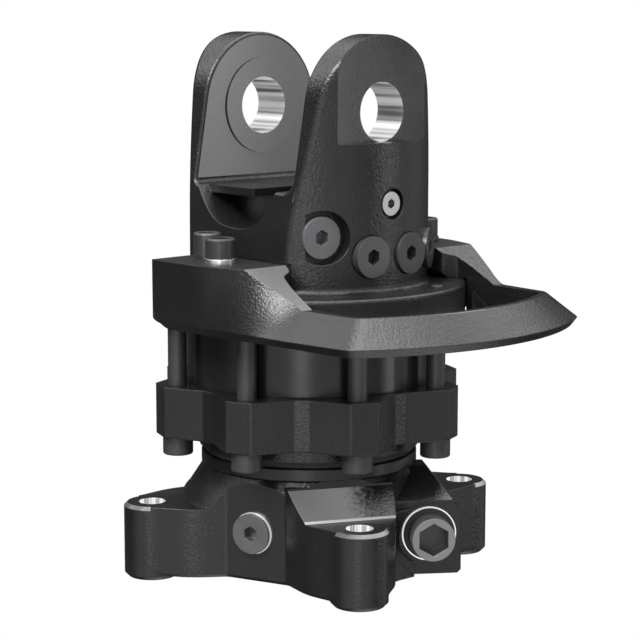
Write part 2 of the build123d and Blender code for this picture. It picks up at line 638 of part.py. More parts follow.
# ---------------------------------------------------------------- rotor
SEAL_Z = [223.0, 230.0, 237.0, 244.0, 251.0]
with BuildPart() as rotor_shaft:
    with BuildSketch(radial(0)):
        with BuildLine():
            Polyline((0, 84.0), (JOURNAL_LOW_R, 84.0), (JOURNAL_LOW_R, STATOR_Z0 + 0.3), (DRUM_R, STATOR_Z0 + 0.3),
                     (DRUM_R, FLANGE_Z0 - 0.3), (JOURNAL_UP_R, FLANGE_Z0 - 0.3), (JOURNAL_UP_R, 213.5),
                     (SPIGOT_R, 216.0), (SPIGOT_R, SPIGOT_TOP), (0, SPIGOT_TOP), close=True)
        make_face()
    revolve(axis=Axis.Z)
    # slots of the vanes
    with BuildSketch(Plane.XY.offset(STATOR_Z0 + 0.3)):
        with PolarLocations(47.6, VANES):
            Rectangle(16.0, 4.2)
    extrude(amount=FLANGE_Z0 - STATOR_Z0 - 0.6, mode=Mode.SUBTRACT)
    # spring pockets behind the vanes
    for k in range(VANES):
        for z in (155.0, 180.6):
            with BuildSketch(facing(polar(40.0, 45.0 * k, z), 45.0 * k)):
                Circle(1.9)
            extrude(amount=-8.0, mode=Mode.SUBTRACT)
    # grooves of the swivel seals and oil galleries
    with BuildSketch(radial(0)):
        for z in SEAL_Z:
            with Locations((SPIGOT_R, z)):
                Rectangle(7.0, 3.0)
        for za, zb in zip(SEAL_Z[:-1], SEAL_Z[1:]):
            with Locations((SPIGOT_R, (za + zb) / 2)):
                Rectangle(3.0, 2.4)
    revolve(axis=Axis.Z, mode=Mode.SUBTRACT)
    with BuildSketch(Plane.XY.offset(83.0)):
        with PolarLocations(16.0, 4, start_angle=45):
            Circle(4.5)
    extrude(amount=160.0, mode=Mode.SUBTRACT)
    # tapped holes of the flange screws
    with BuildSketch(Plane.XY.offset(83.0)):
        with PolarLocations(30.0, 6):
            Circle(5.0)
    extrude(amount=24.0, mode=Mode.SUBTRACT)
rotor_shaft.part.label = "rotor_shaft"
export_step(rotor_shaft.part, "parts/rotor_shaft.step")

with BuildPart() as vanes:
    with BuildSketch(Plane.XY.offset(STATOR_Z0 + 0.5)):
        with PolarLocations(47.9, VANES):
            Rectangle(12.8, 4.1)
    extrude(amount=FLANGE_Z0 - STATOR_Z0 - 1.0)
vanes.part.label = "vanes"
export_step(vanes.part, "parts/vanes.step")

with BuildPart() as swivel_seals:
    with BuildSketch(radial(0)):
        for z in SEAL_Z:
            with Locations((28.24, z)):
                Rectangle(3.46, 2.9)
    revolve(axis=Axis.Z)
swivel_seals.part.label = "swivel_seals"
export_step(swivel_seals.part, "parts/swivel_seals.step")

with BuildPart() as rotor_flange:
    with BuildSketch(Plane.XY.offset(FLANGE_RING_Z0)):
        Circle(FLANGE_RING_R)
    extrude(amount=FLANGE_RING_Z1 - FLANGE_RING_Z0)
    chamfer(rotor_flange.faces().sort_by(Axis.Z)[-1].edges(), length=0.9)
    with BuildSketch(Plane.XY.offset(84.0)):
        Circle(JOURNAL_LOW_R)
    extrude(amount=10, mode=Mode.SUBTRACT)
    with BuildSketch(Plane.XY.offset(80.0)):
        with PolarLocations(30.0, 6):
            Circle(5.1)
        with PolarLocations(16.0, 4, start_angle=45):
            Circle(4.5)
    extrude(amount=5.0, mode=Mode.SUBTRACT)
    with BuildSketch(Plane.XY.offset(80.0)):
        with PolarLocations(64.0, 8, start_angle=BRACKET_TURN + 22.5):
            Circle(6.0)
    extrude(amount=8.0, mode=Mode.SUBTRACT)
rotor_flange.part.label = "rotor_flange"
export_step(rotor_flange.part, "parts/rotor_flange.step")

with BuildPart() as flange_screws:
    with BuildSketch(Plane.XY.offset(71.4)):
        with PolarLocations(30.0, 6):
            Circle(8.0)
    extrude(amount=FLANGE_RING_Z0 - 71.4)
    with BuildSketch(Plane.XY.offset(FLANGE_RING_Z0)):
        with PolarLocations(30.0, 6):
            Circle(4.95)
    extrude(amount=23.0)
    with BuildSketch(Plane.XY.offset(71.4)):
        with PolarLocations(30.0, 6):
            RegularPolygon(4.0, 6, major_radius=False)
    extrude(amount=5.5, mode=Mode.SUBTRACT)
flange_screws.part.label = "flange_screws"
export_step(flange_screws.part, "parts/flange_screws.step")

# ---------------------------------------------------------------- lower bracket
ARM_WALL = [(74.2, 40.7), (88.5, 38.0), (102.0, 34.4), (111.0, 30.0), (119.0, 25.0), (130.4, 19.35)]
FACET_D = 82.0
FACET_DIR = -70.04
FACET_PLUG = ((FACET_D + 2.2) / cos(radians(1.61)), -71.65, 40.8)
BOSS_DIR = BRACKET_TURN - 9.6
# bosses: turn, face centre, radius, half width to the outside, where the shoulder ends at the hub (0: no shoulder)
BOSSES = [(0.0, (77.0, 69.0, 36.0), 24.0, 24.4, 2.5), (180.0, (76.2, 59.3, 36.0), 22.0, 19.0, 0.0)]


def in_turned(x, y, z=0.0, extra=0.0):
    a = radians(BRACKET_TURN + extra)
    return (x * cos(a) - y * sin(a), x * sin(a) + y * cos(a), z)


with BuildPart() as lower_bracket:
    # outline: a square of facets with an arm to each lug
    with BuildSketch(turned(BRACKET_TURN, WEB_Z0)) as outline:
        with Locations(Location((0, 0, 0), 45.0)):
            Rectangle(2 * FACET_D, 2 * FACET_D)
        for k in range(4):
            with BuildLine(Plane.XY.rotated((0, 0, 90.0 * k))):
                Spline(*ARM_WALL)
                Line(ARM_WALL[-1], (ARM_WALL[-1][0], -ARM_WALL[-1][1]))
                Spline(*[(x, -y) for x, y in reversed(ARM_WALL)])
                Line((ARM_WALL[0][0], -ARM_WALL[0][1]), (30.0, -40.7))
                Line((30.0, -40.7), (30.0, 40.7))
                Line((30.0, 40.7), ARM_WALL[0])
            make_face()
        with PolarLocations(LUG_PCR, 4):
            Circle(LUG_R)
        corners = [v for v in outline.vertices() if 84.0 < hypot(v.X, v.Y) < 88.0]
        fillet(corners, radius=5.0)
    extrude(amount=86.0)
    # under a cone
    with BuildSketch(radial(BRACKET_TURN)):
        with BuildLine():
            Polyline((0, 0), (150.0, 0), (150.0, LUG_H), (96.0, LUG_H), (82.6, 76.4), (79.5, 81.4), (0, 81.4), close=True)
        make_face()
    revolve(axis=Axis.Z, mode=Mode.INTERSECT)
    low = [e for e in lower_bracket.edges() if abs(e.center().Z - WEB_Z0) < 0.01 and abs(e.position_at(0.5).Z - WEB_Z0) < 0.01]
    low = [e for e in low if hypot(e.position_at(0.5).X, e.position_at(0.5).Y) < 125]
    chamfer(low, length=2.6)
    # the front and back arms rise to a sloped deck
    for k in (0, 2):
        with BuildSketch(turned(BRACKET_TURN + 90 * k, LUG_H - 1)):
            with BuildLine():
                Spline(*ARM_WALL[:3])
                Polyline(ARM_WALL[2], (102.8, 34.1), (102.8, -34.1), (ARM_WALL[2][0], -ARM_WALL[2][1]))
                Spline(*[(x, -y) for x, y in reversed(ARM_WALL[:3])])
                Polyline((ARM_WALL[0][0], -ARM_WALL[0][1]), (60.0, -40.7), (60.0, 40.7), ARM_WALL[0])
            make_face()
        extrude(amount=22.0)
        with BuildSketch(radial(BRACKET_TURN + 90 * k).offset(-60)):
            with BuildLine():
                Polyline((102.8, LUG_H), (102.2, 57.0), (78.5, 75.4), (78.5, 95.0), (140.0, 95.0), (140.0, LUG_H),
                         close=True)
            make_face()
        extrude(amount=120, mode=Mode.SUBTRACT)
    # solid bosses of the big fittings
    for extra, spot, boss_r, low_end, high_end in BOSSES:
        centre = in_turned(*spot, extra=extra)
        with BuildSketch(facing(centre, BOSS_DIR + extra)):
            Circle(boss_r)
            with BuildLine():
                Polyline((-15.0, 0.0), (low_end, 0.0), (low_end, -28.4), (low_end - 2.6, -31.0), (-12.0, -31.0), close=True)
            make_face()
        extrude(amount=-52.0)
        # shoulder that climbs from the boss to the hub
        frame_side = facing(centre, BOSS_DIR + extra)
        if high_end:
            with BuildSketch(Plane(origin=centre, x_dir=frame_side.z_dir, z_dir=-frame_side.x_dir).offset(-low_end)):
                with BuildLine():
                    Polyline((-46.0, -10.0), (0.0, -10.0), (0.0, boss_r + 0.6), (-26.0, 45.4), (-46.0, 45.4), close=True)
                make_face()
            extrude(amount=low_end + 27.0)
            with BuildSketch(frame_side):
                with BuildLine():
                    Polyline((low_end + 0.5, 15.0), (high_end, 45.9), (low_end + 0.5, 45.9), close=True)
                make_face()
            extrude(amount=-46.0, mode=Mode.SUBTRACT)
        # web between the boss and the front arm
        with BuildSketch(turned(BRACKET_TURN + extra, WEB_Z0)):
            with BuildLine():
                Polyline((70.0, 36.0), (92.0, 33.0), (84.5, 44.0), (78.4, 57.5), (60.0, 57.5), close=True)
            make_face()
        extrude(amount=LUG_H - WEB_Z0)
        # spot face that clears the head of the fitting
        with BuildSketch(frame_side):
            Circle(boss_r + 0.2)
        extrude(amount=30.0, mode=Mode.SUBTRACT)
    # lugs stand proud below the webs
    for k in range(4):
        with BuildSketch(turned(BRACKET_TURN + 90 * k, 0)):
            with Locations((LUG_PCR, 0)):
                Circle(LUG_R)
        extrude(amount=LUG_H)
    # chamfered top rims of the lugs, outside the arms
    for k in range(4):
        deg = BRACKET_TURN + 90 * k
        hub = in_turned(LUG_PCR, 0, 0, extra=90.0 * k)
        with BuildSketch(Plane(origin=hub, x_dir=polar(1, deg - 74.0), z_dir=polar(1, deg - 164.0))):
            with BuildLine():
                Polyline((LUG_R - 2.6, LUG_H + 0.1), (LUG_R + 0.1, LUG_H - 2.6), (LUG_R + 0.1, LUG_H + 0.1), close=True)
            make_face()
        revolve(axis=Axis(origin=hub, direction=(0, 0, 1)), revolution_arc=148.0, mode=Mode.SUBTRACT)
    # hollow underside and centre
    with BuildSketch(Plane.XY.offset(-1)):
        Circle(40.0)
    extrude(amount=61.0, mode=Mode.SUBTRACT)
    with BuildSketch(Plane.XY.offset(55)):
        Circle(30.0 + 9.0)
    extrude(amount=40.0, mode=Mode.SUBTRACT)
    # bolts up into the rotor flange
    with BuildSketch(Plane.XY.offset(-1)):
        with PolarLocations(64.0, 8, start_angle=BRACKET_TURN + 22.5):
            Circle(9.8)
    extrude(amount=57.0, mode=Mode.SUBTRACT)
    with BuildSketch(Plane.XY.offset(50)):
        with PolarLocations(64.0, 8, start_angle=BRACKET_TURN + 22.5):
            Circle(6.2)
    extrude(amount=40.0, mode=Mode.SUBTRACT)
    # lug holes, with chamfered faces top and bottom
    with BuildSketch(Plane.XY.offset(-1)):
        with PolarLocations(LUG_PCR, 4, start_angle=BRACKET_TURN):
            Circle(LUG_HOLE_R)
    extrude(amount=60, mode=Mode.SUBTRACT)
    for k in range(4):
        deg = BRACKET_TURN + 90 * k
        hub = in_turned(LUG_PCR, 0, 0, extra=90.0 * k)
        with BuildSketch(Plane(origin=hub, x_dir=polar(1, deg), z_dir=polar(1, deg - 90.0))):
            with BuildLine():
                Polyline((LUG_R - 3.1, -0.1), (LUG_R + 0.1, -0.1), (LUG_R + 0.1, 3.1), close=True)
            make_face()
        revolve(axis=Axis(origin=hub, direction=(0, 0, 1)), mode=Mode.SUBTRACT)
    # seats of the facet plugs
    for extra in (0.0, 180.0):
        plug = polar(FACET_PLUG[0], FACET_PLUG[1] + extra, FACET_PLUG[2])
        with BuildSketch(facing(plug, FACET_DIR + extra)):
            Circle(9.0)
        extrude(amount=-22.0, mode=Mode.SUBTRACT)
    # seats of the big fittings
    for extra, spot, boss_r, low_end, high_end in BOSSES:
        centre = in_turned(*spot, extra=extra)
        with BuildSketch(facing(centre, BOSS_DIR + extra).offset(1)):
            Circle(14.0)
        extrude(amount=-31.0, mode=Mode.SUBTRACT)
lower_bracket.part.label = "lower_bracket"
export_step(lower_bracket.part, "parts/lower_bracket.step")

with BuildPart() as bracket_screws:
    with BuildSketch(Plane.XY.offset(44.0)):
        with PolarLocations(64.0, 8, start_angle=BRACKET_TURN + 22.5):
            Circle(9.0)
    extrude(amount=12.0)
    with BuildSketch(Plane.XY.offset(56.0)):
        with PolarLocations(64.0, 8, start_angle=BRACKET_TURN + 22.5):
            Circle(5.95)
    extrude(amount=31.4)
    with BuildSketch(Plane.XY.offset(44.0)):
        with PolarLocations(64.0, 8, start_angle=BRACKET_TURN + 22.5):
            RegularPolygon(5.0, 6, major_radius=False)
    extrude(amount=6.5, mode=Mode.SUBTRACT)
bracket_screws.part.label = "bracket_screws"
export_step(bracket_screws.part, "parts/bracket_screws.step")

with BuildPart() as bracket_plugs:
    for extra in (0.0, 180.0):
        plug = polar(FACET_PLUG[0], FACET_PLUG[1] + extra, FACET_PLUG[2])
        with BuildSketch(facing(plug, FACET_DIR + extra)):
            Circle(14.9)
        extrude(amount=2.4)
        with BuildSketch(facing(plug, FACET_DIR + extra)):
            Circle(8.95)
        extrude(amount=-16.0)
        with BuildSketch(facing(plug, FACET_DIR + extra).offset(2.4)):
            RegularPolygon(5.0, 6, major_radius=False, rotation=30)
        extrude(amount=-8.0, mode=Mode.SUBTRACT)
bracket_plugs.part.label = "bracket_plugs"
export_step(bracket_plugs.part, "parts/bracket_plugs.step")

with BuildPart() as bracket_plug_seals:
    for extra in (0.0, 180.0):
        plug = polar(FACET_PLUG[0], FACET_PLUG[1] + extra, FACET_PLUG[2])
        with BuildSketch(facing(plug, FACET_DIR + extra)):
            Circle(15.3)
            Circle(9.2, mode=Mode.SUBTRACT)
        extrude(amount=-2.2)
bracket_plug_seals.part.label = "bracket_plug_seals"
export_step(bracket_plug_seals.part, "parts/bracket_plug_seals.step")

with BuildPart() as valve_fittings:
    for extra, spot, boss_r, low_end, high_end in BOSSES:
        centre = in_turned(*spot, extra=extra)
        with BuildSketch(facing(centre, BOSS_DIR + extra).offset(2.0)):
            Circle(16.0)
        extrude(amount=19.0)
        with BuildSketch(facing(centre, BOSS_DIR + extra).offset(2.0)):
            Circle(13.95)
        extrude(amount=-24.0)
        with BuildSketch(facing(centre, BOSS_DIR + extra).offset(21.0)):
            RegularPolygon(10.7, 6, major_radius=False, rotation=30)
        extrude(amount=-13.0, mode=Mode.SUBTRACT)
valve_fittings.part.label = "valve_fittings"
export_step(valve_fittings.part, "parts/valve_fittings.step")

with BuildPart() as fitting_seals:
    for extra, spot, boss_r, low_end, high_end in BOSSES:
        centre = in_turned(*spot, extra=extra)
        with BuildSketch(facing(centre, BOSS_DIR + extra)):
            Circle(20.2)
            Circle(14.2, mode=Mode.SUBTRACT)
        extrude(amount=2.0)
fitting_seals.part.label = "fitting_seals"
export_step(fitting_seals.part, "parts/fitting_seals.step")

print("written")
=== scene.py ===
import json
import math

import bmesh
import bpy
import numpy as np
from mathutils import Matrix, Vector

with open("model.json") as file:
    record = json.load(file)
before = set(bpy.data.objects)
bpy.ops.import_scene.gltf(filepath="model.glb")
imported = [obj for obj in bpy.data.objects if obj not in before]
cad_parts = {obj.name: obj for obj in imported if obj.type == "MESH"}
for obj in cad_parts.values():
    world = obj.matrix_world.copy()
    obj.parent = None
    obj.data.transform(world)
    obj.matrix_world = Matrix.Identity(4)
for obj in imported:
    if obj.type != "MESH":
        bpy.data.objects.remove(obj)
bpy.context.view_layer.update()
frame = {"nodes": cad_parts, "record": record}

NODES = frame["nodes"]
sc = bpy.context.scene
sc.view_settings.view_transform = "Standard"
sc.view_settings.look = "None"
sc.view_settings.exposure = 0.0
sc.view_settings.gamma = 1.0


# ------------------------------------------------------------------ materials
class Tree:
    """A small helper to write node trees in a few lines."""

    def __init__(self, name):
        self.mat = bpy.data.materials.new(name)
        self.mat.use_nodes = True
        self.nt = self.mat.node_tree
        self.nt.nodes.clear()
        self.out = self.nt.nodes.new("ShaderNodeOutputMaterial")
        self.bsdf = self.nt.nodes.new("ShaderNodeBsdfPrincipled")
        self.nt.links.new(self.bsdf.outputs[0], self.out.inputs[0])
        tc = self.nt.nodes.new("ShaderNodeTexCoord")
        self.co = tc.outputs["Object"]
        self.geo = self.nt.nodes.new("ShaderNodeNewGeometry")

    def link(self, a, b):
        self.nt.links.new(a, b)

    def put(self, sock, v):
        if hasattr(v, "is_output") or isinstance(v, bpy.types.NodeSocket):
            self.nt.links.new(v, sock)
        else:
            sock.default_value = v

    def math(self, op, a, b=None, clamp=False):
        n = self.nt.nodes.new("ShaderNodeMath")
        n.operation = op
        n.use_clamp = clamp
        self.put(n.inputs[0], a)
        if b is not None:
            self.put(n.inputs[1], b)
        return n.outputs[0]

    def noise(self, scale, detail=3.0, rough=0.5, distortion=0.0, co=None):
        n = self.nt.nodes.new("ShaderNodeTexNoise")
        n.inputs["Scale"].default_value = scale
        n.inputs["Detail"].default_value = detail
        n.inputs["Roughness"].default_value = rough
        n.inputs["Distortion"].default_value = distortion
        self.link(co or self.co, n.inputs["Vector"])
        return n.outputs["Fac"]

    def voronoi(self, scale, co=None):
        n = self.nt.nodes.new("ShaderNodeTexVoronoi")
        n.inputs["Scale"].default_value = scale
        self.link(co or self.co, n.inputs["Vector"])
        return n.outputs["Distance"]

    def map(self, v, a, b, c=0.0, d=1.0, smooth=False):
        n = self.nt.nodes.new("ShaderNodeMapRange")
        n.clamp = True
        if smooth:
            n.interpolation_type = "SMOOTHSTEP"
        self.put(n.inputs[0], v)
        for i, x in zip((1, 2, 3, 4), (a, b, c, d)):
            self.put(n.inputs[i], x)
        return n.outputs[0]

    def mix(self, f, a, b):
        n = self.nt.nodes.new("ShaderNodeMix")
        n.data_type = "FLOAT"
        self.put(n.inputs[0], f)
        self.put(n.inputs[2], a)
        self.put(n.inputs[3], b)
        return n.outputs[0]

    def mix_rgb(self, f, a, b):
        n = self.nt.nodes.new("ShaderNodeMix")
        n.data_type = "RGBA"
        self.put(n.inputs[0], f)
        for i, v in ((6, a), (7, b)):
            if isinstance(v, (tuple, list)):
                n.inputs[i].default_value = (*v, 1.0)
            else:
                self.link(v, n.inputs[i])
        return n.outputs[2]

    def mix_vector(self, f, a, b):
        n = self.nt.nodes.new("ShaderNodeMix")
        n.data_type = "VECTOR"
        self.put(n.inputs[0], f)
        self.link(a, n.inputs[4])
        self.link(b, n.inputs[5])
        return n.outputs[1]

    def scaled(self, sx, sy, sz, loc=(0, 0, 0), rot=(0, 0, 0)):
        n = self.nt.nodes.new("ShaderNodeMapping")
        n.inputs["Location"].default_value = loc
        n.inputs["Rotation"].default_value = rot
        n.inputs["Scale"].default_value = (sx, sy, sz)
        self.link(self.co, n.inputs["Vector"])
        return n.outputs[0]

    def xyz(self, v=None):
        n = self.nt.nodes.new("ShaderNodeSeparateXYZ")
        self.link(v or self.co, n.inputs[0])
        return n.outputs

    def combine(self, x, y, z):
        n = self.nt.nodes.new("ShaderNodeCombineXYZ")
        for i, v in enumerate((x, y, z)):
            self.put(n.inputs[i], v)
        return n.outputs[0]

    def object_normal(self):
        """The surface normal in the part's own frame."""
        n = self.nt.nodes.new("ShaderNodeVectorTransform")
        n.vector_type = "NORMAL"
        n.convert_from = "WORLD"
        n.convert_to = "OBJECT"
        self.link(self.geo.outputs["Normal"], n.inputs[0])
        return self.xyz(n.outputs[0])

    def length2(self, a, b):
        return self.math("SQRT", self.math("ADD", self.math("MULTIPLY", a, a), self.math("MULTIPLY", b, b)))

    def bump(self, height, strength, distance, normal=None):
        n = self.nt.nodes.new("ShaderNodeBump")
        n.inputs["Strength"].default_value = strength
        n.inputs["Distance"].default_value = distance
        self.link(height, n.inputs["Height"])
        if normal is not None:
            self.link(normal, n.inputs["Normal"])
        return n.outputs[0]

    def bevel(self, radius, samples=4):
        n = self.nt.nodes.new("ShaderNodeBevel")
        n.samples = samples
        n.inputs["Radius"].default_value = radius
        return n.outputs[0]

    def set(self, name, v):
        s = self.bsdf.inputs[name]
        if isinstance(v, (tuple, list)):
            s.default_value = (*v, 1.0) if len(v) == 3 else v
        else:
            self.put(s, v)


def cast_material(name, machined_and_painted_glow=None, tone=0.009, edge=0.0011, rough=(0.21, 0.30), skin=0.9, plain=None, painted_light_and_gloss=None):
    """Satin black coat over a cast skin: orange-peel grain, faint cloudiness, a smoother, glossier coat on the edges;
    optional painted highlights and painted reflections are added as emission.
    """
    t = Tree(name)
    peel = t.noise(520.0, 2.5, 0.55)
    grain = t.noise(1500.0, 2.0, 0.5)
    cloud = t.noise(24.0, 4.0, 0.6)
    dents = t.noise(95.0, 2.0, 0.45)
    height = t.math("ADD", t.math("MULTIPLY", peel, 0.62),
                    t.math("ADD", t.math("MULTIPLY", grain, 0.08), t.math("MULTIPLY", dents, 0.30)))
    n0 = t.bevel(edge) if edge else None
    if plain is not None:
        n0 = t.mix_vector(plain(t), n0, t.geo.outputs["Normal"])
        # the faces of the ears are milled, so the coat lies smoother on them
        nx = t.object_normal()[0]
        milled = t.math("MULTIPLY", t.map(t.math("ABSOLUTE", nx), 0.985, 0.995), t.math("GREATER_THAN", t.xyz()[2], 0.3245))
        height = t.math("MULTIPLY", height, t.math("SUBTRACT", 1.0, t.math("MULTIPLY", milled, 0.93)))
    normal = t.bump(height, skin, 0.00075, n0)
    colour = t.mix_rgb(t.map(cloud, 0.3, 0.7), (tone * 0.86, tone * 0.87, tone * 0.89),
                       (tone * 1.16, tone * 1.17, tone * 1.20))
    r = t.mix(t.map(cloud, 0.3, 0.75), rough[0], rough[1])
    r = t.math("ADD", r, t.math("MULTIPLY", t.math("SUBTRACT", grain, 0.5), 0.14))
    # the coat is rubbed a little smoother where an edge stands out
    point = t.map(t.geo.outputs["Pointiness"], 0.52, 0.60)
    r = t.math("SUBTRACT", r, t.math("MULTIPLY", point, 0.06))
    t.set("Base Color", colour)
    t.set("Roughness", r)
    t.set("Specular IOR Level", 0.5)
    t.set("Normal", normal)
    light = None
    if painted_light_and_gloss is not None:
        light, dull, gloss = painted_light_and_gloss(t, peel)
        r = t.math("ADD", r, dull)
        t.set("Roughness", r)
        t.set("Specular IOR Level", t.math("MULTIPLY", gloss, 0.5))
    if machined_and_painted_glow is not None:
        mask, glow = machined_and_painted_glow(t)
        fine = t.noise(1400.0, 2.0, 0.5)
        m = t.mix_rgb(mask, colour, (0.20, 0.20, 0.205))
        t.set("Base Color", m)
        t.set("Roughness", t.mix(mask, r, t.mix(fine, 0.12, 0.22)))
        t.set("Metallic", t.math("MULTIPLY", mask, 0.7))
        # painted reflection: the machined walls glow
        glow = t.math("MULTIPLY", mask, glow)
        light = glow if light is None else t.math("ADD", light, glow)
    # painted light: these masks are added to the coat as emission
    if light is not None:
        t.set("Emission Color", (1.0, 1.0, 1.0))
        t.set("Emission Strength", light)
    return t.mat


def facing_mask(t, direction, tight=0.992):
    """1 where the surface faces along a direction of the part's own frame."""
    nx, ny, nz = t.object_normal()
    size = math.sqrt(sum(v * v for v in direction))
    d = t.math("ADD", t.math("ADD", t.math("MULTIPLY", nx, direction[0] / size), t.math("MULTIPLY", ny, direction[1] / size)),
               t.math("MULTIPLY", nz, direction[2] / size))
    return t.map(d, tight, tight + 0.004)


def painted_ramp_highlight(t, peel):
    """Painted highlight on one ramp of the guard, added as emission with a mottled tint; the block tops get a higher
    roughness and a lower specular level.
    """
    x, y, z = t.xyz()
    ramp = t.math("MULTIPLY", facing_mask(t, (0.4817, 0.0, 0.8763)), t.math("LESS_THAN", y, 0.0))
    top = t.math("MULTIPLY", facing_mask(t, (0.0, 0.0, 1.0)), t.math("GREATER_THAN", z, 0.2400))
    tint = t.mix(t.map(peel, 0.3, 0.7), 0.93, 1.07)
    # painted highlight: the ramp glows, more strongly towards +x
    light = t.math("MULTIPLY", t.math("MULTIPLY", ramp, t.map(x, 0.058, 0.104, 0.185, 0.285)), tint)
    return light, t.math("MULTIPLY", top, 0.25), t.mix(top, 1.0, 0.5)


def painted_inner_ear_light(t, peel):
    """Painted light on the inside of the rear ear, added as emission and strongest towards its open edge; that face
    also gets a higher roughness and a lower specular level.
    """
    x, y, z = t.xyz()
    face = t.math("MULTIPLY", facing_mask(t, (1.0, 0.0, 0.0)),
                  t.math("MULTIPLY", t.math("LESS_THAN", x, -0.050), t.math("GREATER_THAN", x, -0.0546)))
    across = t.map(y, -0.050, 0.030, 1.0, 0.62, smooth=True)
    up = t.map(z, 0.300, 0.385, 0.165, 0.205)
    tint = t.mix(t.map(peel, 0.3, 0.7), 0.93, 1.07)
    # painted light: the face glows, more at -y and higher up
    light = t.math("MULTIPLY", t.math("MULTIPLY", face, across), t.math("MULTIPLY", up, tint))
    return light, t.math("MULTIPLY", face, 0.3), t.mix(face, 1.0, 0.45)


def painted_deck_highlights(t, peel):
    """Painted highlights as emission: the decks of the front and rear arms glow on one side with a mottled border, and
    the rims of deck and lugs glow; the deck's other side and the cone get a lower specular level.
    """
    x, y, z = t.xyz()
    nx, ny, nz = t.object_normal()
    light, gloss = None, None
    blotch = t.noise(330.0, 2.0, 0.5)
    for k in (0, 2):
        a = math.radians(-25.04 + 90.0 * k)
        ca, sa = math.cos(a), math.sin(a)
        side = t.math("SUBTRACT", t.math("MULTIPLY", y, ca), t.math("MULTIPLY", x, sa))
        away = t.math("ADD", t.math("MULTIPLY", x, ca), t.math("MULTIPLY", y, sa))
        near = t.math("GREATER_THAN", away, 0.070)
        deck = t.math("MULTIPLY", facing_mask(t, (0.613 * ca, 0.613 * sa, 0.790)), near)
        ragged = t.math("ADD", side, t.math("MULTIPLY", t.math("SUBTRACT", blotch, 0.5), 0.026))
        # painted highlight: one side of each deck glows, with a ragged border
        lit = t.map(ragged, -0.002, 0.024, 1.0, 0.0, smooth=True)
        swell = t.mix(t.map(side, -0.036, 0.006, 0.0, 1.0, smooth=True), 0.140, 0.185)
        part = t.math("MULTIPLY", t.math("MULTIPLY", deck, lit), swell)
        # painted highlight along the lower rim of the deck
        rim = t.math("MULTIPLY", t.math("GREATER_THAN", away, 0.1012), t.math("LESS_THAN", away, 0.1032))
        rim = t.math("MULTIPLY", rim, t.math("MULTIPLY", t.math("GREATER_THAN", z, 0.0562), t.math("GREATER_THAN", nz, 0.3)))
        rim = t.math("MULTIPLY", rim, t.mix(t.map(side, -0.034, 0.034), 0.62, 0.30))
        part = t.math("MAXIMUM", part, rim)
        mute = t.math("MULTIPLY", deck, t.map(side, -0.012, 0.018, 0.0, 0.10, smooth=True))
        light = part if light is None else t.math("ADD", light, part)
        gloss = mute if gloss is None else t.math("ADD", gloss, mute)
    # painted highlight on the top rims of the lugs
    lug = t.math("MULTIPLY", t.math("GREATER_THAN", z, 0.0532), t.math("LESS_THAN", z, 0.05605))
    lug = t.math("MULTIPLY", lug, t.math("MULTIPLY", t.map(nz, 0.66, 0.69), t.map(nz, 0.73, 0.76, 1.0, 0.0)))
    lug = t.math("MULTIPLY", lug, t.math("GREATER_THAN", t.length2(x, y), 0.1135))
    toward = t.math("ADD", t.math("MULTIPLY", nx, math.cos(math.radians(-8.0))), t.math("MULTIPLY", ny, math.sin(math.radians(-8.0))))
    light = t.math("ADD", light, t.math("MULTIPLY", lug, t.map(toward, 0.30, 0.72, 0.12, 0.36, smooth=True)))
    # the cone above the arms is duller than the rest
    cone = t.math("MULTIPLY", t.math("MULTIPLY", t.map(nz, 0.50, 0.53), t.map(nz, 0.60, 0.63, 1.0, 0.0)),
                  t.math("GREATER_THAN", z, 0.0563))
    return light, 0.0, t.math("SUBTRACT", 1.0, t.math("MAXIMUM", gloss, t.math("MULTIPLY", cone, 0.6)))


def lug_holes(t):
    """1 on the walls of the four lug holes, and a glow with bars down the walls, a painted reflection."""
    x, y, z = t.xyz()
    total, bars = None, None
    for k in range(4):
        a = math.radians(-25.04 + 90 * k)
        px, py = t.math("SUBTRACT", x, 0.12233 * math.cos(a)), t.math("SUBTRACT", y, 0.12233 * math.sin(a))
        m = t.math("LESS_THAN", t.length2(px, py), 0.00992)
        w = t.math("MULTIPLY", m, t.math("ARCTAN2", py, px))
        total = m if total is None else t.math("MAXIMUM", total, m)
        bars = w if bars is None else t.math("ADD", bars, w)
    streaks = t.noise(1.0, 3.0, 0.6, co=t.combine(t.math("MULTIPLY", bars, 5.0), 0.3, t.math("MULTIPLY", z, 3.0)))
    return total, t.mix(t.map(streaks, 0.38, 0.60), 0.14, 0.80)


def round_pin(t):
    """1 close to the pin bore, where the bush and the casting are faced off together."""
    x, y, z = t.xyz()
    return t.math("LESS_THAN", t.length2(y, t.math("SUBTRACT", z, 0.3465)), 0.0275)


def pin_bore(t):
    """1 on the honed walls of the pin bore, and a glow with bars that run along the pin, a painted reflection."""
    x, y, z = t.xyz()
    zc = t.math("SUBTRACT", z, 0.3465)
    r = t.length2(y, zc)
    m = t.math("LESS_THAN", r, 0.02132)
    angle = t.math("ARCTAN2", zc, y)
    bars = t.noise(1.0, 1.6, 0.45, co=t.combine(t.math("MULTIPLY", angle, 4.6), 0.0, t.math("MULTIPLY", x, 3.0)))
    return m, t.mix(t.map(bars, 0.34, 0.64, smooth=True), 0.02, 0.40)


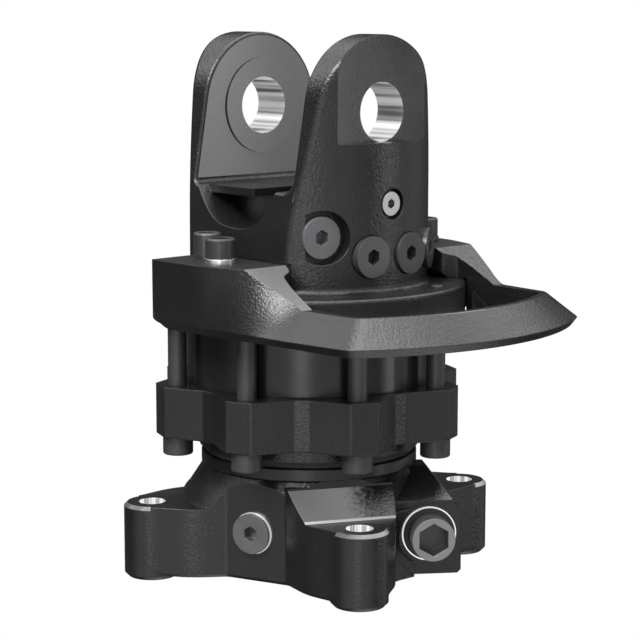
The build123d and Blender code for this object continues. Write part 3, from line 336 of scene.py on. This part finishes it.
def steel_material(name, tone, rough, metallic=1.0, edge=0.0006, glow=0.0, shade=None):
    t = Tree(name)
    fine = t.noise(1200.0, 3.0, 0.55)
    cloud = t.noise(60.0, 3.0, 0.5)
    colour = t.mix_rgb(t.map(cloud, 0.3, 0.7), tuple(c * 0.88 for c in tone), tuple(min(1, c * 1.1) for c in tone))
    r = t.math("ADD", t.mix(cloud, rough * 0.85, rough * 1.15), t.math("MULTIPLY", t.math("SUBTRACT", fine, 0.5), 0.1))
    # shade scales the tone by a mask: for the flank plug and the rear screws it paints a highlight, for the far washer
    # a shade
    if shade is not None:
        mask, k = shade(t)
        colour = t.mix_rgb(mask, colour, tuple(c * k for c in tone))
    t.set("Base Color", colour)
    t.set("Roughness", r)
    t.set("Metallic", metallic)
    t.set("Normal", t.bump(fine, 0.06, 0.0002, t.bevel(edge) if edge else None))
    # painted light: glow makes the steel emit light
    if glow:
        t.set("Emission Color", (1.0, 1.0, 1.0))
        t.set("Emission Strength", t.mix(cloud, glow * 0.8, glow * 1.1))
    return t.mat


def lit_flank_plug(t):
    """Painted highlight: the plug on the flank is painted 2.4 times brighter than the three in front."""
    x, y, z = t.xyz()
    return t.math("LESS_THAN", y, -0.034), 2.4


def shaded_far_washer(t):
    """Painted shade: the washer on the far side is darkened to 0.12 of the near one's tone."""
    x, y, z = t.xyz()
    return t.math("GREATER_THAN", y, 0.0), 0.12


def lit_rear_screws(t):
    # painted highlight: screws within 95.5 mm of the middle are painted 1.7 times brighter
    x, y, z = t.xyz()
    return t.math("LESS_THAN", t.math("ABSOLUTE", y), 0.0955), 1.7


def fitting_face(t):
    """The turned end face of each fitting is made 3.2 times lighter than its sides and socket."""
    x, y, z = t.xyz()
    total = None
    for (cx, cy, cz), (dx, dy, dz) in BOSSES:
        along = t.math("ADD", t.math("MULTIPLY", t.math("SUBTRACT", x, cx), dx), t.math("MULTIPLY", t.math("SUBTRACT", y, cy), dy))
        m = t.math("GREATER_THAN", along, 0.0206)
        m = t.math("MULTIPLY", m, t.math("LESS_THAN", along, 0.0220))
        total = m if total is None else t.math("MAXIMUM", total, m)
    return total, 3.2


def rim_material(name, body, rim, centres, inner, rough=0.3):
    """Dark annulus with a bright rim beyond a radius; centres are (point, direction) of the discs."""
    t = Tree(name)
    total = None
    x, y, z = t.xyz()
    for (cx, cy, cz), (dx, dy, dz) in centres:
        px, py, pz = (t.math("SUBTRACT", a, b) for a, b in ((x, cx), (y, cy), (z, cz)))
        along = t.math("ADD", t.math("ADD", t.math("MULTIPLY", px, dx), t.math("MULTIPLY", py, dy)),
                       t.math("MULTIPLY", pz, dz))
        d2 = t.math("ADD", t.math("ADD", t.math("MULTIPLY", px, px), t.math("MULTIPLY", py, py)),
                    t.math("MULTIPLY", pz, pz))
        r = t.math("SQRT", t.math("MAXIMUM", t.math("SUBTRACT", d2, t.math("MULTIPLY", along, along)), 0.0))
        m = t.math("MULTIPLY", t.math("GREATER_THAN", r, inner), t.math("LESS_THAN", d2, 0.0009))
        total = m if total is None else t.math("MAXIMUM", total, m)
    fine = t.noise(1200.0, 3.0, 0.55)
    t.set("Base Color", t.mix_rgb(total, body, rim))
    t.set("Metallic", t.mix(total, 0.1, 1.0))
    t.set("Roughness", t.mix(total, 0.55, t.mix(fine, rough * 0.8, rough * 1.2)))
    t.set("Normal", t.bump(fine, 0.05, 0.0002))
    # painted highlight: the bright rim glows
    t.set("Emission Color", (1.0, 1.0, 1.0))
    t.set("Emission Strength", t.math("MULTIPLY", total, 0.45))
    return t.mat


def polar(r, deg, z):
    return (r * math.cos(math.radians(deg)), r * math.sin(math.radians(deg)), z)


TURN = -25.04
BOSSES = []
for extra, bx, by in ((0.0, 0.077, 0.069), (180.0, 0.0762, 0.0593)):
    a = math.radians(TURN + extra)
    BOSSES.append(((bx * math.cos(a) - by * math.sin(a), bx * math.sin(a) + by * math.cos(a), 0.036),
                   polar(1.0, TURN - 9.6 + extra, 0.0)))
FACETS = [(polar(0.084233, -71.65 + e, 0.0408), polar(1.0, -70.04 + e, 0.0)) for e in (0.0, 180.0)]

MATS = {
    "cast": cast_material("cast_black"),
    "cast_guard": cast_material("cast_black_guard", painted_light_and_gloss=painted_ramp_highlight),
    "cast_top": cast_material("cast_black_top", plain=round_pin, painted_light_and_gloss=painted_inner_ear_light),
    "cast_bracket": cast_material("cast_black_bracket", machined_and_painted_glow=lug_holes, painted_light_and_gloss=painted_deck_highlights, skin=0.7),
    "bush": cast_material("bush_bore", machined_and_painted_glow=pin_bore, edge=None, skin=0.12, painted_light_and_gloss=painted_inner_ear_light),
    "turned_black": cast_material("turned_black", tone=0.010, rough=(0.26, 0.32), skin=0.12),
    "ring_black": cast_material("ring_black", tone=0.006, rough=(0.30, 0.38), skin=0.08),
    "plug": steel_material("plug_steel", (0.125, 0.125, 0.13), 0.33, metallic=0.6),
    "port_plug": steel_material("port_plug_steel", (0.070, 0.070, 0.073), 0.33, metallic=0.6, shade=lit_flank_plug),
    "fitting": steel_material("fitting_steel", (0.070, 0.070, 0.073), 0.33, metallic=0.6, shade=fitting_face),
    "screw": steel_material("black_screw", (0.035, 0.035, 0.037), 0.38, metallic=0.2),
    "guard_screw": steel_material("guard_screw", (0.045, 0.045, 0.048), 0.38, metallic=0.5, shade=lit_rear_screws),
    "silver": steel_material("valve_plug_steel", (0.38, 0.38, 0.39), 0.32),
    # painted light: the zinc steel glows faintly
    "bright": steel_material("zinc_steel", (0.85, 0.85, 0.86), 0.25, glow=0.15),
    "washer": steel_material("washer_zinc", (0.88, 0.88, 0.89), 0.25, shade=shaded_far_washer),
    "ground": steel_material("ground_steel", (0.45, 0.45, 0.46), 0.25),
    "bronze": steel_material("bearing_bronze", (0.55, 0.37, 0.16), 0.3),
    "rubber": steel_material("seal_rubber", (0.02, 0.02, 0.02), 0.7, metallic=0.0),
    "ptfe": steel_material("seal_ptfe", (0.2, 0.16, 0.12), 0.6, metallic=0.0),
    "boss_ring": rim_material("boss_ring", (0.02, 0.02, 0.02), (0.85, 0.85, 0.86), BOSSES, 0.0194),
    "facet_ring": rim_material("facet_ring", (0.02, 0.02, 0.02), (0.85, 0.85, 0.86), FACETS, 0.01495),
}
SLOT = {"cast_black": "cast", "screw_black": "screw", "plug_steel": "plug", "bright_steel": "bright",
        "turned_steel": "ground", "bronze": "bronze", "seal_black": "rubber", "seal_ptfe": "ptfe"}
OWN = {"lower_bracket": "cast_bracket", "hose_guard": "cast_guard", "top_casting": "cast_top", "ear_bushes": "bush", "guard_screws": "guard_screw",
       "guard_spacers": "guard_screw", "guard_washers": "washer", "valve_plug": "silver", "port_plugs": "port_plug", "valve_fittings": "fitting", "rotor_flange": "ring_black",
       "stator_ring": "turned_black", "fitting_seals": "boss_ring", "bracket_plug_seals": "facet_ring"}
for sub in frame["record"]["subparts"]:
    o = NODES[sub["node"]]
    key = OWN.get(sub["node"], SLOT[sub["material_slot"]])
    o.data.materials.clear()
    o.data.materials.append(MATS[key])

# ------------------------------------------------------------------ stage
me = bpy.data.meshes.new("floor")
bm = bmesh.new()
n = 24
for i in range(n + 1):
    for j in range(n + 1):
        bm.verts.new(((i / n - 0.5) * 60.0, (j / n - 0.5) * 60.0, 0.0))
bm.verts.ensure_lookup_table()
for i in range(n):
    for j in range(n):
        a = i * (n + 1) + j
        bm.faces.new([bm.verts[a], bm.verts[a + n + 1], bm.verts[a + n + 2], bm.verts[a + 1]])
bm.to_mesh(me)
bm.free()
floor = bpy.data.objects.new("floor", me)
sc.collection.objects.link(floor)
t = Tree("floor_white")
paper = t.mix_rgb(t.noise(3.0, 3.0), (0.93, 0.93, 0.93), (0.97, 0.97, 0.97))
t.set("Base Color", paper)
t.set("Roughness", t.mix(t.noise(40.0), 0.85, 0.95))
t.set("Specular IOR Level", 0.1)
t.set("Normal", t.bump(t.noise(400.0), 0.03, 0.0002))
# the sweep is lit evenly from behind, so it reads as plain white
lit = t.nt.nodes.new("ShaderNodeEmission")
lit.inputs[0].default_value = (1.0, 1.0, 1.0, 1.0)
lit.inputs[1].default_value = 1.0
path = t.nt.nodes.new("ShaderNodeLightPath")
either = t.nt.nodes.new("ShaderNodeMixShader")
t.link(path.outputs["Is Camera Ray"], either.inputs[0])
t.link(t.bsdf.outputs[0], either.inputs[1])
t.link(lit.outputs[0], either.inputs[2])
t.link(either.outputs[0], t.out.inputs[0])
me.materials.append(t.mat)
floor.visible_glossy = False
floor.visible_diffuse = False
floor.visible_shadow = False

# ------------------------------------------------------------------ light
CAM_AZ = math.radians(-42.06)


def around(az_rel, dist, z):
    """A point at an angle from the camera's side of the axis, positive to the camera's right."""
    a = CAM_AZ + math.radians(az_rel)
    return (dist * math.cos(a), dist * math.sin(a), z)


def heading(az_rel, elev):
    a, e = CAM_AZ + math.radians(az_rel), math.radians(elev)
    return (math.cos(a) * math.cos(e), math.sin(a) * math.cos(e), math.sin(e))


# a studio of soft boxes on dark walls, painted on the sky around the part
AMBIENT = 0.060
world = bpy.data.worlds.new("studio")
sc.world = world
world.use_nodes = True
wn = world.node_tree
wn.nodes.clear()
wo = wn.nodes.new("ShaderNodeOutputWorld")
tc = wn.nodes.new("ShaderNodeTexCoord")


def w_dot(direction):
    n = wn.nodes.new("ShaderNodeVectorMath")
    n.operation = "DOT_PRODUCT"
    wn.links.new(tc.outputs["Generated"], n.inputs[0])
    n.inputs[1].default_value = direction
    return n.outputs["Value"]


def w_ramp(v, a, b, lo, hi):
    n = wn.nodes.new("ShaderNodeMapRange")
    n.interpolation_type = "SMOOTHSTEP"
    wn.links.new(v, n.inputs[0])
    for i, x in zip((1, 2, 3, 4), (a, b, lo, hi)):
        n.inputs[i].default_value = x
    return n.outputs[0]


def w_math(op, a, b):
    n = wn.nodes.new("ShaderNodeMath")
    n.operation = op
    for i, v in enumerate((a, b)):
        if isinstance(v, float):
            n.inputs[i].default_value = v
        else:
            wn.links.new(v, n.inputs[i])
    return n.outputs[0]


def cosd(a):
    return math.cos(math.radians(a))


def spot(az_rel, elev, full, fade, power):
    """A round box: full inside one angle, gone at the next."""
    return w_ramp(w_dot(heading(az_rel, elev)), cosd(fade), cosd(full), 0.0, power)


def strip(az_rel, half, soft_edge, z0, z1, power):
    """An upright strip box between two heights."""
    side = w_math("ABSOLUTE", w_dot(heading(az_rel + 90.0, 0.0)), 0.0)
    across = w_ramp(side, math.sin(math.radians(half + soft_edge)), math.sin(math.radians(half)), 0.0, power)
    ahead = w_ramp(w_dot(heading(az_rel, 0.0)), 0.0, 0.1, 0.0, 1.0)
    z = w_dot((0.0, 0.0, 1.0))
    low = w_ramp(z, z0 - 0.08, z0, 0.0, 1.0)
    high = w_ramp(z, z1, z1 + 0.08, 1.0, 0.0)
    return w_math("MULTIPLY", w_math("MULTIPLY", across, ahead), w_math("MULTIPLY", low, high))


LIGHTS = [
    w_ramp(w_dot((0.0, 0.0, 1.0)), math.sin(math.radians(27)), math.sin(math.radians(42)), 0.0, 1.9),
    spot(120, 85, 8, 22, 4.6),
    spot(-108, 34, 6, 15, 2.6),
    spot(-38, 46, 11, 20, 15.0),
    spot(137, 37, 8, 19, 1.0),
    spot(142, 4, 6, 16, 0.10),
    w_ramp(w_dot(heading(-5, -5)), cosd(86), cosd(30), 0.0, 0.70),
    spot(-7, -3, 4, 11, 3.2),
    spot(110, -4, 8, 30, 0.45),
    spot(82, -74, 14, 40, 1.2),
    strip(80.3, 2.6, 2.8, -0.16, 0.30, 4.2),
]
level = AMBIENT
for part in LIGHTS:
    level = w_math("ADD", part, level)
soft = wn.nodes.new("ShaderNodeBackground")
soft.inputs[0].default_value = (1.0, 1.0, 1.0, 1.0)
wn.links.new(level, soft.inputs[1])
white = wn.nodes.new("ShaderNodeBackground")
white.inputs[0].default_value = (1.0, 1.0, 1.0, 1.0)
white.inputs[1].default_value = 1.0
seen = wn.nodes.new("ShaderNodeLightPath")
choose = wn.nodes.new("ShaderNodeMixShader")
wn.links.new(seen.outputs["Is Camera Ray"], choose.inputs[0])
wn.links.new(soft.outputs[0], choose.inputs[1])
wn.links.new(white.outputs[0], choose.inputs[2])
wn.links.new(choose.outputs[0], wo.inputs[0])

# ------------------------------------------------------------------ camera
cam = bpy.data.cameras.new("camera")
cam.sensor_fit = "HORIZONTAL"
cam.sensor_width = 36.0
cam.lens = 36.0 * 2089.7 / 640.0
cam.shift_x = (320.0 - 308.94) / 640.0
cam.clip_start = 0.05
cam.clip_end = 100.0
camera = bpy.data.objects.new("camera", cam)
camera.location = (1.5555 * math.cos(CAM_AZ), 1.5555 * math.sin(CAM_AZ), 0.4292)
p = math.radians(8.85)
look = Vector((-math.cos(CAM_AZ) * math.cos(p), -math.sin(CAM_AZ) * math.cos(p), -math.sin(p)))
camera.rotation_euler = look.to_track_quat("-Z", "Y").to_euler()
sc.collection.objects.link(camera)
sc.camera = camera
